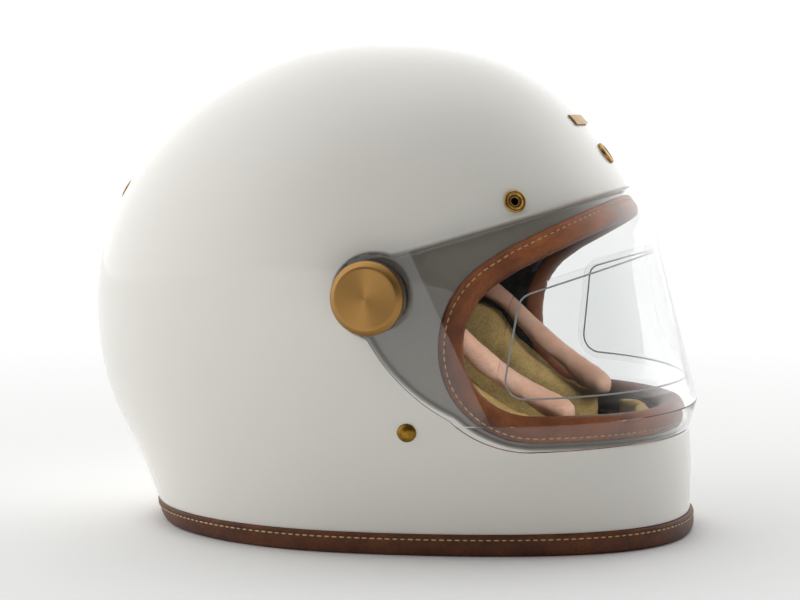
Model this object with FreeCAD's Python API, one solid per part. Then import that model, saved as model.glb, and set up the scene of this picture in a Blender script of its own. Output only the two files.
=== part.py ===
import FreeCAD, Part
import math
import os
from FreeCAD import Vector

# Full-face motorcycle helmet with a flat-sided clear visor on two thumb screws.
# +X is where the wearer faces, +Y the wearer's left, +Z up. The origin is the
# middle of the footprint, on the surface that the neck trim rests on.

# overall sizes of the shell, with the visor shut
length = 343.0
width = 244.0
height = 270.0

# shell, and the pocket in it that the visor shuts into
shell_wall = 4.0
pocket_depth = 5.0
pocket_half_width = 114.5
clearance = 0.3

# eyeport: the straight edges of its outline, and how round its two back corners are
eyeport_back = 53.2
eyeport_low = 60.3
eyeport_back_top = 144.4
eyeport_rise = 28.0
eyeport_top_radius = 55.0
eyeport_low_radius = 48.0
eyeport_trim_width = 13.0
eyeport_trim_proud = 2.2
eyeport_trim_lap = 5.0
eyeport_trim_depth = 12.0

# neck trim
neck_trim_height = 12.0
neck_trim_proud = 2.2
neck_trim_wrap = 7.0

# visor and its pivots
pivot_x = 23.2
pivot_z = 138.0
visor_wall = 2.0
visor_gap = 0.6
visor_rise = 17.0
visor_line_height = 17.6
visor_low = 58.5
visor_bow = 112.0
visor_back_lean = 15.0
crease_height = 72.5
lip_lean = 4.0
lug_radius = 21.5
insert_wall = 0.8

# thumb screws
knob_radius = 19.0
knob_height = 11.2
knob_bevel = 2.6
stud_radius = 4.0
stud_clearance = 0.5
ratchet_radius = 18.6
ratchet_height = 3.6
ratchet_lobes = 28
ratchet_lobe_radius = 1.5
insert_flange_radius = 9.0
insert_flange_wall = 1.6
insert_flange_drop = 1.4

# small brass fittings
front_vent_x = 89.2
front_vent_z = 184.7
rear_vent_y = 17.0
rear_vent_z = 186.0
vent_radius = 6.0
vent_bore = 2.0
vent_tube_radius = 4.0
rivet_x = 37.2
rivet_z = 67.3
rivet_radius = 5.0
rivet_shank = 2.6
rivet_grip = 8.0
badge_z = 208.5
badge_radius = 6.5
plate_z = 227.0
plate_size = (34.0, 5.0)

# liner
foam_inset = 32.0
foam_low = 30.0
chin_foam_inset = 20.0
crown_pad_wall = 9.0
cheek_inner = 64.0
cheek_outer = 86.5
cheek_pocket = 97.0
cheek_inset = 20.0
bolster_radius = 9.0
chin_pad_wall = 10.0

# retention straps
strap_width = 24.0
strap_wall = 1.8
strap_plane = 90.6
strap_floor = 3.6
ring_end = -34.0
tail_end = -8.0
ring_bar = 1.6
hanger_radius = 7.0

half_length = length / 2
half_width = width / 2
visor_half = half_width + visor_gap
visor_slope = math.tan(math.radians(visor_back_lean))
rise = math.tan(math.radians(visor_rise))

# Level sections of the shell from the bottom up: height as a share of the shell's
# height, reach to the back and to the front as shares of half its length, and half
# width as a share of the greatest half width.
sections = [
    (0.000, 0.763, 0.981, 0.830),
    (0.140, 0.856, 0.984, 0.893),
    (0.247, 0.942, 0.971, 0.943),
    (0.354, 0.990, 0.949, 0.978),
    (0.461, 1.000, 0.917, 0.997),
    (0.568, 0.976, 0.865, 1.000),
    (0.687, 0.898, 0.788, 0.968),
    (0.797, 0.768, 0.673, 0.868),
    (0.889, 0.600, 0.542, 0.703),
    (0.956, 0.402, 0.377, 0.478),
    (0.990, 0.216, 0.185, 0.241),
]
section_middle = -0.045
section_waist = 0.46
apex_x = -0.7
front_fullness = 0.0555
section_poles = 28


def section_ring(row, inset):
    # control points round one level section: half an ellipse at the back, and a half
    # ellipse at the front that is filled out a little towards its two shoulders
    share, back, front, half = row
    waist = section_waist * height
    z = share * height
    if z > waist:
        z = waist + (z - waist) * (1 - inset / (height - waist))
    middle = section_middle * half_length
    spread = 3 / (2 + math.cos(2 * math.pi / section_poles))
    ring = []
    for k in range(section_poles):
        turn = 2 * math.pi * k / section_poles
        fill = 1 + front_fullness * math.sin(2 * turn) ** 2 * max(math.cos(turn), 0)
        reach = front if math.cos(turn) > 0 else -back
        along = abs(reach * half_length - middle) * (1 - inset / half_length)
        across = half * (half_width - inset)
        x = middle + spread * along * math.cos(turn) * fill
        y = spread * across * math.sin(turn) * fill
        ring.append(Vector(x, y, z))
    return ring


def dome(inset):
    # a closed solid of the shell's outer form, moved inwards by the inset
    apex = Vector(apex_x, 0, height - inset)
    rings = [section_ring(row, inset) for row in sections]
    steps = list(range(len(rings) + 1))
    net = []
    for k in range(section_poles):
        points = [ring[k] for ring in rings] + [apex]
        start = points[1] - points[0]
        end = Vector(apex.x - points[-2].x, -points[-2].y, 0)
        curve = Part.BSplineCurve()
        curve.interpolate(Points=points, Parameters=steps, InitialTangent=start,
                          FinalTangent=end)
        net.append(curve.getPoles())
    surface = Part.BSplineSurface()
    surface.buildFromPolesMultsKnots(
        net, [1] * (section_poles + 1), curve.getMultiplicities(),
        list(range(section_poles + 1)), curve.getKnots(), True, False, 3, 3)
    skin = surface.toShape()
    floor_edge = min(skin.Edges, key=lambda e: e.BoundBox.ZMax)
    floor = Part.Face(Part.Wire([floor_edge]))
    shell = Part.Shell([skin, floor])
    shell.sewShape()
    return Part.Solid(shell)


def block(low, high):
    size = [b - a for a, b in zip(low, high)]
    return Part.makeBox(size[0], size[1], size[2], Vector(*low))


def slab(z_low, z_high):
    return block((-400, -300, z_low), (400, 300, z_high))


def wide(half, x_low=-400, x_high=400):
    return block((x_low, -half, -50), (x_high, half, 400))


def side_prism(wire, half=200.0):
    # an outline in the XZ plane, carried through the helmet from side to side
    face = Part.Face(wire)
    face.translate(Vector(0, -half, 0))
    return face.extrude(Vector(0, 2 * half, 0))


def polygon(points):
    corners = [Vector(x, 0, z) for x, z in points]
    return Part.makePolygon(corners + corners[:1])


def rounded(points, radii):
    # a closed outline whose corners are rounded by the given radii
    edges = []
    count = len(points)
    ends = []
    for k in range(count):
        here = Vector(points[k][0], 0, points[k][1])
        back = Vector(points[k - 1][0], 0, points[k - 1][1]) - here
        ahead = Vector(points[(k + 1) % count][0], 0, points[(k + 1) % count][1]) - here
        if radii[k] <= 0:
            ends.append((here, here, None))
            continue
        back.normalize()
        ahead.normalize()
        half_angle = back.getAngle(ahead) / 2
        run = radii[k] / math.tan(half_angle)
        inward = (back + ahead).normalize()
        middle = here + inward * (radii[k] / math.sin(half_angle) - radii[k])
        ends.append((here + back * run, here + ahead * run, middle))
    for k in range(count):
        first, last, middle = ends[k]
        if middle is not None:
            edges.append(Part.Arc(first, middle, last).toShape())
        follow = ends[(k + 1) % count][0]
        if last.distanceToPoint(follow) > 1e-6:
            edges.append(Part.LineSegment(last, follow).toShape())
    return Part.Wire(edges)


def disc(x, z, radius, y_low, y_high):
    return Part.makeCylinder(radius, y_high - y_low, Vector(x, y_low, z), Vector(0, 1, 0))


def mirrored(shape):
    return shape.mirror(Vector(0, 0, 0), Vector(0, 1, 0))


def save(name, shape):
    shape = shape.removeSplitter() if len(shape.Solids) == 1 else shape
    if not shape.isValid() or not shape.Solids:
        print("CHECK", name, "valid", shape.isValid(), "solids", len(shape.Solids))
    print(name, len(shape.Solids), round(shape.Volume / 1000, 2), "cm3")
    shape.exportStep("parts/" + name + ".step")


def save_pair(name, right):
    # the right-hand piece is modelled, and the left one is its mirror image
    save(name + "_right", right)
    save(name + "_left", mirrored(right))


def eyeport(offset):
    # the eyeport's outline, moved inwards by the offset, and open past the face
    lean = math.radians(eyeport_rise)
    back = eyeport_back + offset
    low = eyeport_low + offset
    front = half_length + 60
    corner = eyeport_back_top + offset * math.tan(lean) - offset / math.cos(lean)
    top = corner + (front - back) * math.tan(lean)
    points = [(back, low), (front, low), (front, top), (back, corner)]
    radii = [eyeport_low_radius - offset, 0, 0, eyeport_top_radius - offset]
    return side_prism(rounded(points, radii))


def visor_outline(grow):
    # the visor's side outline: a round lug at each pivot, widening towards the face
    front = half_length + 60
    top_start = pivot_z + visor_line_height + grow
    low = visor_low - grow
    lug = lug_radius + grow
    start = Vector(pivot_x, 0, pivot_z)
    over = Vector(pivot_x, 0, top_start)
    top = Vector(front, 0, top_start + (front - pivot_x) * rise)
    bottom = Vector(front, 0, low)
    turn = Vector(101.2, 0, low)
    sweep = Vector(79.2 - 0.5 * grow, 0, 64.3 - 0.85 * grow)
    knee = Vector(63.2 - 0.6 * grow, 0, 75.5 - 0.8 * grow)
    belly = Vector(39.9 - 0.7 * grow, 0, 91.2 - 0.7 * grow)
    heel = Vector(pivot_x - 3.9, 0, pivot_z - lug + 0.4)
    edges = [Part.LineSegment(a, b).toShape() for a, b in
             [(start, over), (over, top), (top, bottom), (bottom, turn)]]
    edges.append(Part.Arc(turn, sweep, knee).toShape())
    edges.append(Part.Arc(knee, belly, heel).toShape())
    edges.append(Part.LineSegment(heel, start).toShape())
    lugs = disc(pivot_x, pivot_z, lug, -200, 200)
    return side_prism(Part.Wire(edges)).fuse(lugs)


def pocket_core(inset):
    # the shell's form inside the visor pocket, with flat sides
    return dome(pocket_depth + inset).common(wide(pocket_half_width - inset))


def joggled(inset):
    # the shell's form with the visor pocket sunk into it, moved inwards by the inset
    ring = visor_outline(1.0 + inset).cut(core[inset])
    return dome(inset).cut(ring)


def bow(z, front, grow):
    # the visor's U in plan at one height: flat sides and half an ellipse in front
    half = visor_half + grow
    middle = front - visor_bow
    back = middle - 100
    stretch = FreeCAD.Matrix()
    stretch.scale(front + grow - middle, half, 1)
    stretch.move(middle, 0, z)
    half_circle = Part.Arc(Vector(0, -1, 0), Vector(1, 0, 0), Vector(0, 1, 0)).toShape()
    corners = [Vector(middle, half, z), Vector(back, half, z), Vector(back, -half, z),
               Vector(middle, -half, z)]
    edges = [half_circle.transformGeometry(stretch)]
    edges += [Part.LineSegment(a, b).toShape() for a, b in zip(corners, corners[1:])]
    return Part.Wire(edges)


def visor_block(grow):
    # everything inside the visor's U, above and below the crease over its lip
    front = half_length - visor_wall
    tall = 150.0
    crease = bow(crease_height, front, grow)
    upper = Part.Face(crease).extrude(Vector(-visor_slope * tall, 0, tall))
    drop = crease_height - visor_low + 4
    lean = lip_lean * drop / (crease_height - visor_low)
    foot = bow(crease_height - drop, front, grow - lean)
    lower = Part.makeLoft([foot, crease], True, True)
    return upper.fuse(lower)


def seat_on_shell(outside, inside):
    # where the line from outside to inside meets the shell, and the way out there
    probe = Part.LineSegment(outside, inside).toShape()
    point = min(outer.common(probe).Vertexes,
                key=lambda v: v.Point.distanceToPoint(outside)).Point
    skin = max(outer.Faces, key=lambda f: f.Area)
    u, v = skin.Surface.parameter(point)
    way = skin.normalAt(u, v)
    if way.dot(outside - inside) < 0:
        way = way * -1
    return point, way.normalize()


def side_seat(x, z):
    return seat_on_shell(Vector(x, -width, z), Vector(x, 0, z))


def front_seat(z):
    return seat_on_shell(Vector(length, 0, z), Vector(0, 0, z))


def rod(point, way, radius, low, high):
    return Part.makeCylinder(radius, high - low, point + way * low, way)


def lathe(point, way, profile):
    # a turned piece: the profile is a list of (radius, height along the axis)
    corners = [Vector(r, 0, h) for r, h in profile]
    body = Part.Face(Part.makePolygon(corners + corners[:1]))
    body = body.revolve(Vector(0, 0, 0), Vector(0, 0, 1), 360)
    body.Placement = FreeCAD.Placement(point, FreeCAD.Rotation(Vector(0, 0, 1), way))
    return body


def tube_path(points, radius):
    # a round bar along straight runs joined by tangent arcs
    edges = []
    start = points[0]
    for k in range(1, len(points) - 1):
        back = points[k - 1] - points[k]
        ahead = points[k + 1] - points[k]
        shorter = min(back.Length, ahead.Length)
        back.normalize()
        ahead.normalize()
        half_angle = back.getAngle(ahead) / 2
        run = 0.45 * shorter
        arc_radius = run * math.tan(half_angle)
        inward = (back + ahead).normalize()
        middle = points[k] + inward * (arc_radius / math.sin(half_angle) - arc_radius)
        edges.append(Part.LineSegment(start, points[k] + back * run).toShape())
        edges.append(Part.Arc(points[k] + back * run, middle, points[k] + ahead * run).toShape())
        start = points[k] + ahead * run
    edges.append(Part.LineSegment(start, points[-1]).toShape())
    spine = Part.Wire(edges)
    ring = Part.Wire([Part.makeCircle(radius, points[0], points[1] - points[0])])
    return spine.makePipeShell([ring], True, False)


os.makedirs("parts", exist_ok=True)

# shell
outer = dome(0)
core = {inset: pocket_core(inset) for inset in (0, shell_wall, shell_wall + clearance)}
shell_form = joggled(0)
above_trim = slab(neck_trim_height + clearance, 400)
shell = shell_form.cut(joggled(shell_wall))
shell = shell.cut(eyeport(eyeport_trim_lap)).common(above_trim)

# pivot bores in both sides of the shell
shell = shell.cut(disc(pivot_x, pivot_z, stud_radius + stud_clearance + 2, -200, 200))

# where the small fittings sit
front_vent = side_seat(front_vent_x, front_vent_z)
rear_vent = seat_on_shell(Vector(-length, -rear_vent_y, rear_vent_z), Vector(0, -rear_vent_y, rear_vent_z))
rivet = side_seat(rivet_x, rivet_z)
for point, way, radius in [(front_vent[0], front_vent[1], vent_tube_radius),
                           (rear_vent[0], rear_vent[1], vent_tube_radius),
                           (rivet[0], rivet[1], rivet_shank)]:
    bore = rod(point, way, radius + 0.1, -14, 20)
    shell = shell.cut([bore, mirrored(bore)])
save("outer_shell", shell)

# leather trims
trim_skin = dome(pocket_depth - eyeport_trim_proud).common(
    wide(pocket_half_width + eyeport_trim_proud))
band = trim_skin.cut(core[0]).common(eyeport(0)).cut(eyeport(eyeport_trim_width))
roll_back = dome(pocket_depth + eyeport_trim_depth).common(
    wide(pocket_half_width - eyeport_trim_depth))
roll = core[0].cut(roll_back).common(eyeport(eyeport_trim_lap + clearance))
roll = roll.cut(eyeport(eyeport_trim_width))
save("eyeport_trim", band.fuse(roll))

neck_trim = dome(-neck_trim_proud).cut(dome(neck_trim_wrap)).common(slab(0, neck_trim_height))
save("neck_trim", neck_trim)

# energy-absorbing foam
foam_form = joggled(shell_wall + clearance)
cheek_outline = [(-34, 17), (112, 17), (124, 34), (120, 64), (90, 79), (66, 94), (45, 117),
                 (34, 122), (-34, 116)]
cheek_radii = [10, 8, 10, 12, 20, 30, 8, 4, 10]
cheek_prism = side_prism(rounded(cheek_outline, cheek_radii))
cheek_room = side_prism(polygon([(-37, 0), (400, 0), (400, 70), (124, 72), (112, 92), (64, 136),
                                 (-37, 126)]))
foam = foam_form.cut(dome(foam_inset))
foam = foam.cut(eyeport(eyeport_trim_lap - clearance)).common(slab(foam_low, 400))
foam = foam.cut(cheek_room.common(wide(cheek_pocket)))
foam = foam.cut(block((60, -200, 0), (400, 200, 84)))
foam = foam.cut(disc(pivot_x, pivot_z, insert_flange_radius + clearance, -200, 200)
                .cut(wide(pocket_half_width - 15)))
for point, way in (front_vent, rear_vent):
    bore = rod(point, way, vent_tube_radius + 0.2, -60, 20)
    foam = foam.cut([bore, mirrored(bore)])
bore = rod(rivet[0], rivet[1], rivet_shank + 0.2, -30, 20)
foam = foam.cut([bore, mirrored(bore)])
save("foam_liner", foam)

chin_low = neck_trim_height + 2
chin_foam = foam_form.cut(dome(chin_foam_inset)).common(
    block((62, -200, chin_low), (400, 200, eyeport_low - 6)))
save("chin_foam", chin_foam)

# comfort liner
crown = dome(foam_inset + clearance).cut(dome(foam_inset + crown_pad_wall))
crown_vents = []
for point, way in (front_vent, rear_vent):
    bore = rod(point, way, vent_tube_radius + 0.2, -90, 20)
    crown_vents += [bore, mirrored(bore)]
save("crown_pad", crown.common(block((-200, -200, 195), (66, 200, 300))).cut(crown_vents))
save("rear_pad", crown.common(block((-200, -200, 60), (-50, 200, 193))).cut(crown_vents))
save("brow_pad", crown.common(block((68, -200, 178), (200, 200, 300))).cut(crown_vents))

cheek = cheek_prism.common(dome(cheek_inset)).common(
    block((-60, -cheek_outer, 0), (200, -cheek_inner, 200)))
save_pair("cheek_pad", cheek)

bolster_points = [Vector(34, -72, 129), Vector(49, -73, 117.5), Vector(69, -73, 98.5),
                  Vector(90, -69, 83.5), Vector(109, -60, 73.5)]
bolster = tube_path(bolster_points, bolster_radius)
bolster = bolster.fuse(Part.makeSphere(bolster_radius, bolster_points[-1]))
bolster = bolster.fuse(Part.makeSphere(bolster_radius, bolster_points[0]))
cheek_clear = cheek_prism.common(block((-60, -cheek_outer - 1, 0), (200, -cheek_inner + 1, 200)))
save_pair("cheek_bolster", bolster.cut(cheek_clear))

chin_form = dome(chin_foam_inset + clearance).cut(dome(chin_foam_inset + chin_pad_wall))
chin_pad = chin_form.common(block((112, -48, chin_low + 12), (400, 48, 70)))
save("chin_pad", chin_pad)

neck_roll = dome(shell_wall + clearance).cut(dome(22)).common(
    block((-400, -200, neck_trim_height + clearance), (-37, 200, foam_low - clearance)))
save("neck_roll", neck_roll)

# visor, its anti-fog insert, and the lugs' bores
visor_side = visor_outline(0)
lug_bore = disc(pivot_x, pivot_z, stud_radius + stud_clearance, -200, 200)
visor = visor_block(visor_wall).cut(visor_block(0)).common(visor_side).cut(lug_bore)
save("visor", visor)

insert_outline = [(84, 82), (200, 82), (200, 176), (92, 141)]
insert_side = side_prism(rounded(insert_outline, [14, 0, 0, 12]))
insert = visor_block(-0.2).cut(visor_block(-0.2 - insert_wall)).common(insert_side)
save("visor_insert", insert)

# pivot hardware, outwards from the shell on the right-hand side
out = Vector(0, -1, 0)
visor_face = visor_half + visor_wall
seat = Vector(pivot_x, -pocket_half_width, pivot_z)
washer = lathe(seat, out, [
    (stud_radius + stud_clearance, 0), (16, 0),
    (16, visor_half - pocket_half_width - 0.2),
    (stud_radius + stud_clearance, visor_half - pocket_half_width - 0.2)])
save_pair("pivot_washer", washer)

boss = stud_radius + stud_clearance + 1.8
insert_depth = 12.0
flange_top = -shell_wall - insert_flange_drop
flange_low = flange_top - insert_flange_wall
threaded = lathe(seat, out, [
    (stud_radius + 0.05, -insert_depth), (boss, -insert_depth),
    (boss, flange_low), (insert_flange_radius, flange_low),
    (insert_flange_radius, flange_top), (boss, flange_top),
    (boss, -0.1), (stud_radius + 0.05, -0.1)])
save_pair("pivot_insert", threaded)

ratchet_low = visor_face - pocket_half_width + 0.2
ratchet = Part.makeCylinder(ratchet_radius - ratchet_lobe_radius * 0.7, ratchet_height,
                            seat + out * ratchet_low, out)
lobes = []
for k in range(ratchet_lobes):
    turn = 2 * math.pi * k / ratchet_lobes
    reach = ratchet_radius - ratchet_lobe_radius
    place = Vector(reach * math.cos(turn), 0, reach * math.sin(turn))
    lobes.append(Part.makeCylinder(ratchet_lobe_radius, ratchet_height,
                                   seat + place + out * ratchet_low, out))
ratchet = ratchet.fuse(lobes).cut(disc(pivot_x, pivot_z, stud_radius + stud_clearance, -200, 0))
save_pair("ratchet_ring", ratchet)

knob_low = ratchet_low + ratchet_height + 0.2
knob_top = knob_low + knob_height
knob = lathe(seat, out, [
    (0, -insert_depth + 1), (stud_radius, -insert_depth + 1), (stud_radius, knob_low),
    (knob_radius - 0.6, knob_low), (knob_radius, knob_low + 0.6),
    (knob_radius, knob_top - knob_bevel), (knob_radius - knob_bevel, knob_top), (0, knob_top)])
save_pair("knob", knob)

# brass vents, rivets, badge and plate
for name, (point, way) in (("front_vent", front_vent), ("rear_vent", rear_vent)):
    eyelet = lathe(point, way, [
        (vent_bore, -9), (vent_tube_radius - 0.9, -9), (vent_tube_radius - 0.9, 0.2),
        (vent_radius - 0.4, 0.2), (vent_radius, 0.7), (vent_radius - 0.6, 1.5),
        (vent_radius - 2.0, 1.7), (vent_radius - 2.6, 1.0), (vent_bore, 0.6)])
    save_pair(name, eyelet)
    tube = lathe(point, way, [
        (vent_tube_radius - 0.8, -foam_inset - 1), (vent_tube_radius, -foam_inset - 1),
        (vent_tube_radius, -0.8), (vent_tube_radius - 0.8, -0.8)])
    save_pair(name + "_tube", tube)

rivet_head = lathe(rivet[0], rivet[1], [
    (0, -rivet_grip), (rivet_shank, -rivet_grip), (rivet_shank, 0.25), (rivet_radius, 0.25),
    (rivet_radius, 0.8), (rivet_radius * 0.8, 1.8), (rivet_radius * 0.45, 2.5), (0, 2.7)])
save_pair("strap_rivet", rivet_head)

badge_point, badge_way = front_seat(badge_z)
badge = lathe(badge_point, badge_way, [
    (0, 0.1), (badge_radius, 0.1), (badge_radius, 1.0), (badge_radius - 0.6, 1.5),
    (badge_radius - 1.4, 1.5), (badge_radius - 1.6, 1.1), (0, 1.1)])
save("brow_badge", badge)

plate_point, plate_way = front_seat(plate_z)
plate_box = block((plate_point.x - 40, -plate_size[0] / 2, plate_z - plate_size[1] / 2),
                  (plate_point.x + 40, plate_size[0] / 2, plate_z + plate_size[1] / 2))
plate = dome(-1.0).cut(dome(-0.2)).common(plate_box)
save("brow_plate", plate)

# retention straps: each hangs on its rivet, turns in at the rim and lies across the neck


def strap(inner_end, x_middle):
    # a flat band bent to an L with a round elbow, seen along X
    elbow = 9.0
    top = rivet_z + 10
    path = []
    for wall in (0.0, strap_wall):
        y0 = -strap_plane + wall
        z0 = strap_floor + wall
        r = elbow - wall
        centre = Vector(0, -strap_plane + elbow, strap_floor + elbow)
        corner = Vector(0, centre.y - r * math.sin(math.pi / 4), centre.z - r * math.cos(math.pi / 4))
        path.append((Vector(0, y0, top), Vector(0, y0, centre.z), corner,
                     Vector(0, centre.y, z0), Vector(0, inner_end, z0)))
    outside, inside = path
    edges = [Part.LineSegment(outside[0], outside[1]).toShape(),
             Part.Arc(outside[1], outside[2], outside[3]).toShape(),
             Part.LineSegment(outside[3], outside[4]).toShape(),
             Part.LineSegment(outside[4], inside[4]).toShape(),
             Part.LineSegment(inside[4], inside[3]).toShape(),
             Part.Arc(inside[3], inside[2], inside[1]).toShape(),
             Part.LineSegment(inside[1], inside[0]).toShape(),
             Part.LineSegment(inside[0], outside[0]).toShape()]
    face = Part.Face(Part.Wire(edges))
    face.translate(Vector(x_middle - strap_width / 2, 0, 0))
    body = face.extrude(Vector(strap_width, 0, 0))
    hole = disc(rivet_x, rivet_z, rivet_shank + 0.3, -200, 0)
    return body.cut(hole)


save("ring_strap", strap(ring_end, rivet_x))
save("tail_strap", mirrored(strap(tail_end, rivet_x)))


def d_ring(y_hinge, y_reach, z):
    # a bent steel D lying flat: a straight bar in the strap's loop and a round end
    half = strap_width / 2 + ring_bar
    bend = Vector(rivet_x, y_reach, z)
    side = y_reach - 8
    spine = Part.Wire([
        Part.LineSegment(Vector(rivet_x - half, y_hinge, z), Vector(rivet_x - half, side, z)).toShape(),
        Part.Arc(Vector(rivet_x - half, side, z), bend, Vector(rivet_x + half, side, z)).toShape(),
        Part.LineSegment(Vector(rivet_x + half, side, z), Vector(rivet_x + half, y_hinge, z)).toShape()])
    start = Vector(rivet_x - half, y_hinge, z)
    ring = Part.Wire([Part.makeCircle(ring_bar, start, Vector(0, 1, 0))])
    loop = spine.makePipeShell([ring], True, False)
    bar = Part.makeCylinder(ring_bar, 2 * half, start, Vector(1, 0, 0))
    balls = [Part.makeSphere(ring_bar, Vector(rivet_x + s * half, y_hinge, z)) for s in (-1, 1)]
    return loop.fuse([bar] + balls)


ring_z = strap_floor + strap_wall + ring_bar + clearance
save("d_ring_outer", d_ring(ring_end - 4, ring_end + 22, ring_z))
save("d_ring_inner", d_ring(ring_end - 9.2, ring_end + 16, ring_z + 2 * ring_bar + clearance))


# the straps' hangers: a pin on a plate in each cheek pocket, with a washer that keeps the strap
hanger = lathe(Vector(rivet_x, -cheek_pocket, rivet_z), Vector(0, 1, 0), [
    (0, 0.2), (hanger_radius, 0.2), (hanger_radius, 1.4), (rivet_shank, 1.4),
    (rivet_shank, cheek_pocket - strap_plane + strap_wall + 0.4),
    (hanger_radius, cheek_pocket - strap_plane + strap_wall + 0.4),
    (hanger_radius, cheek_pocket - strap_plane + strap_wall + 1.3),
    (0, cheek_pocket - strap_plane + strap_wall + 1.3)])
save_pair("strap_hanger", hanger)

snap = Vector(rivet_x, -tail_end + 12, strap_floor + strap_wall + 0.1)
save("strap_snap", lathe(snap, Vector(0, 0, 1), [
    (0, 0), (6, 0), (6, 0.8), (2.4, 1.2), (2.4, 2.8), (0, 3.0)]))
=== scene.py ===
import math

import bmesh
import bpy
import numpy as np
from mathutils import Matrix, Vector
from mathutils.bvhtree import BVHTree


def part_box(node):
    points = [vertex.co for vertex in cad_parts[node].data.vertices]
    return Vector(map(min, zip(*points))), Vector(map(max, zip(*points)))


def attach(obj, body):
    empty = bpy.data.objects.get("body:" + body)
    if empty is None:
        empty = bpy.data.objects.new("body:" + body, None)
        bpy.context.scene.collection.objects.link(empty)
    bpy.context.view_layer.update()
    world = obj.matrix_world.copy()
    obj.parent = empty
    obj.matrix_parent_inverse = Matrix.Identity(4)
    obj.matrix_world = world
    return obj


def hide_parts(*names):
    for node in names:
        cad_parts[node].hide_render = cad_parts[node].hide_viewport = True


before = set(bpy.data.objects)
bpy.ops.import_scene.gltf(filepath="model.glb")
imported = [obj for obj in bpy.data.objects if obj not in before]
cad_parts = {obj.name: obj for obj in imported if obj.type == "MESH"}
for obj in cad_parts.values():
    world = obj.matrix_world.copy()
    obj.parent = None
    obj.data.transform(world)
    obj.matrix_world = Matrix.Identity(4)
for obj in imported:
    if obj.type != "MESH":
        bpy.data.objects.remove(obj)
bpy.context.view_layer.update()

# Motorcycle helmet. Shapes are worked out in millimetres and become metres in makeObject.
mm = 0.001
scene = bpy.context.scene


def nodeBox(node):
    low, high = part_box(node)
    return np.array(low) / mm, np.array(high) / mm


def cleanMesh(mesh, reach=0.0, outward=False):
    # merges points closer than reach, in metres, and can turn the faces outwards
    edited = bmesh.new()
    edited.from_mesh(mesh)
    if reach:
        bmesh.ops.remove_doubles(edited, verts=edited.verts, dist=reach)
    if outward:
        bmesh.ops.recalc_face_normals(edited, faces=edited.faces)
    edited.to_mesh(mesh)
    edited.free()


def linkObject(name, data):
    made = bpy.data.objects.new(name, data)
    scene.collection.objects.link(made)
    return made


def makeObject(name, points, faces):
    # points in millimetres; doubles at seams and poles are merged
    mesh = bpy.data.meshes.new(name)
    mesh.from_pydata([tuple(p) for p in np.asarray(points) * mm], [], [tuple(f) for f in faces])
    cleanMesh(mesh, 2e-6)
    mesh.shade_smooth()
    return linkObject(name, mesh)


def bakeModifiers(made):
    # the evaluated shape becomes the object's own mesh
    bpy.context.view_layer.update()
    shaped = made.evaluated_get(bpy.context.evaluated_depsgraph_get())
    mesh = bpy.data.meshes.new_from_object(shaped)
    made.modifiers.clear()
    made.data = mesh
    return made


def thicken(made, wall, smoothAngle):
    # gives a sheet its wall, inwards, and keeps the wall's rims crisp
    solid = made.modifiers.new("Wall", "SOLIDIFY")
    solid.thickness = wall * mm
    solid.offset = -1.0
    bakeModifiers(made)
    made.data.set_sharp_from_angle(angle=math.radians(smoothAngle))
    return made


def finishPiece(made, material, body, replaced=()):
    if material:
        made.data.materials.clear()
        made.data.materials.append(material)
    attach(made, body)
    if replaced:
        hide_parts(*replaced)
    return made


def unitRows(rows):
    return rows / np.maximum(np.linalg.norm(rows, axis=1), 1e-9)[:, None]


def linearColour(code):
    parts = [int(code[k:k + 2], 16) / 255 for k in (1, 3, 5)]
    return tuple(p / 12.92 if p <= 0.04045 else ((p + 0.055) / 1.055) ** 2.4 for p in parts) + (1.0,)


def addNode(tree, kind, settings=None, inputs=None):
    # one node with its settings; an input is given a value or linked from an output
    node = tree.nodes.new(kind)
    for name, value in (settings or {}).items():
        setattr(node, name, value)
    for name, value in (inputs or {}).items():
        if isinstance(value, bpy.types.NodeSocket):
            tree.links.new(value, node.inputs[name])
        else:
            node.inputs[name].default_value = value
    return node


def startMaterial(name, values):
    material = bpy.data.materials.new(name)
    material.use_nodes = True
    tree = material.node_tree
    shader = tree.nodes["Principled BSDF"]
    for socket, value in values.items():
        shader.inputs[socket].default_value = value
    place = addNode(tree, "ShaderNodeTexCoord").outputs["Object"]
    return material, tree, shader, place


def perMetre(size):
    # texture scale of a pattern whose repeat is this many millimetres
    return 1000.0 / size


def noise(tree, place, size, detail=2.0, **more):
    # a noise texture whose features are about this many millimetres across
    inputs = {"Vector": place, "Scale": perMetre(size), "Detail": detail}
    inputs.update({name.capitalize(): value for name, value in more.items()})
    return addNode(tree, "ShaderNodeTexNoise", None, inputs).outputs["Fac"]


def bumpInto(tree, socket, height, strength, depth):
    # depth is the relief in millimetres
    bump = addNode(tree, "ShaderNodeBump", None,
                   {"Strength": strength, "Distance": depth * mm, "Height": height})
    tree.links.new(bump.outputs["Normal"], socket)


def roughInto(tree, shader, value, low, high):
    # the roughness runs from low to high with a texture
    rough = addNode(tree, "ShaderNodeMapRange", None,
                    {"Value": value, "To Min": low, "To Max": high})
    tree.links.new(rough.outputs["Result"], shader.inputs["Roughness"])


def blendColours(tree, share, first, second):
    mix = addNode(tree, "ShaderNodeMix", {"data_type": "RGBA"}, {"Factor": share})
    for socket, value in ((6, first), (7, second)):
        if isinstance(value, bpy.types.NodeSocket):
            tree.links.new(value, mix.inputs[socket])
        else:
            mix.inputs[socket].default_value = linearColour(value)
    return mix.outputs[2]


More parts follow.
